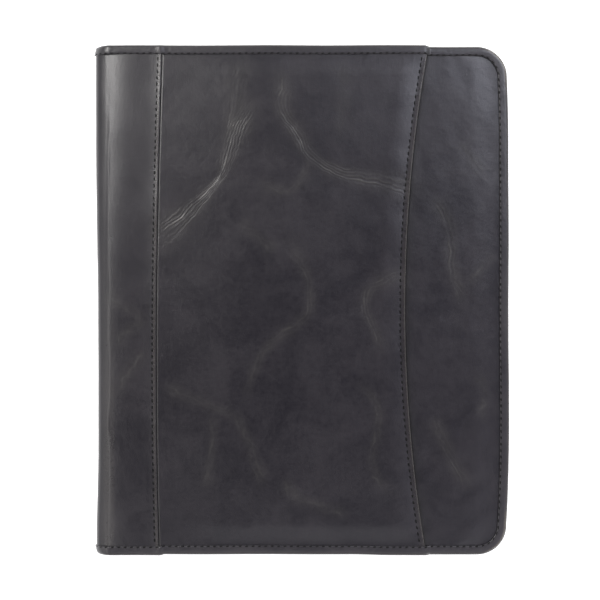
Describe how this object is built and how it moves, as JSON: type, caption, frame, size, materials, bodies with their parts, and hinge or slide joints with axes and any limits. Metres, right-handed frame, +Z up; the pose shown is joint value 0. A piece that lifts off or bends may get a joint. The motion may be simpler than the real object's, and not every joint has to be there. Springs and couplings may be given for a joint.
{
  "type": "portfolio case",
  "caption": "Leather portfolio case that opens flat on a rounded spine, with a curved outside pocket, bound edges, inner pockets and a writing pad in a sleeve.",
  "frame": {"origin": "centre of the closed case's footprint, on the surface it lies on", "axes": "+X towards the fore edge, so the spine is at -X; +Y towards the head; +Z up through the closed case, front cover on top"},
  "size_m": [0.267, 0.33, 0.024],
  "materials": {
    "front_leather": "semi-matt waxed pull-up leather, black",
    "spine_leather": "semi-matt waxed pull-up leather, black",
    "back_leather": "semi-matt waxed pull-up leather, black",
    "binding_leather": "smooth folded leather, black",
    "thread": "waxed polyester thread, black",
    "board": "grey-brown fibreboard",
    "lining": "fine woven lining, black",
    "inner_leather": "smooth leather, black",
    "clear_vinyl": "clear soft vinyl",
    "pad_card": "grey-brown card",
    "pad_paper": "matt ruled paper",
    "pad_tape": "black cloth tape"
  },
  "bodies": {
    "back_cover": {"back_board": "board", "back_outer_leather": "back_leather", "back_lining": "lining", "back_edge_binding": "binding_leather", "back_binding_stitching": "thread", "spine_wrap_back": "spine_leather", "back_seam_stitching": "thread", "pad_sleeve": "inner_leather", "pad_sleeve_stitching": "thread", "pen_loop": "inner_leather"},
    "spine": {"spine_wrap_middle": "spine_leather", "spine_stiffener": "board", "spine_lining": "lining", "spine_head_binding": "binding_leather", "spine_tail_binding": "binding_leather", "spine_binding_stitching": "thread"},
    "front_cover": {"front_board": "board", "front_base_leather": "front_leather", "front_pocket_panel": "front_leather", "pocket_hem_stitching": "thread", "front_lining": "lining", "front_edge_binding": "binding_leather", "front_binding_stitching": "thread", "spine_wrap_front": "spine_leather", "front_seam_stitching": "thread", "document_pocket": "inner_leather", "document_pocket_stitching": "thread", "card_slot_1": "inner_leather", "card_slot_2": "inner_leather", "card_slot_3": "inner_leather", "card_slot_4": "inner_leather", "id_window": "clear_vinyl"},
    "writing_pad": {"pad_backing": "pad_card", "pad_paper": "pad_paper", "pad_head_tape": "pad_tape"}
  },
  "joints": [
    {"name": "back_hinge", "type": "hinge", "parent": "back_cover", "child": "spine", "pos_m": [-0.13161, 0, 0.00189], "axis": [0, -1, 0], "range_deg": [0, 90]},
    {"name": "front_hinge", "type": "hinge", "parent": "spine", "child": "front_cover", "pos_m": [-0.13161, 0, 0.02211], "axis": [0, -1, 0], "range_deg": [0, 90]},
    {"name": "pad_slide", "type": "slide", "parent": "back_cover", "child": "writing_pad", "axis": [0, 1, 0], "range_m": [0, 0.172]}
  ]
}
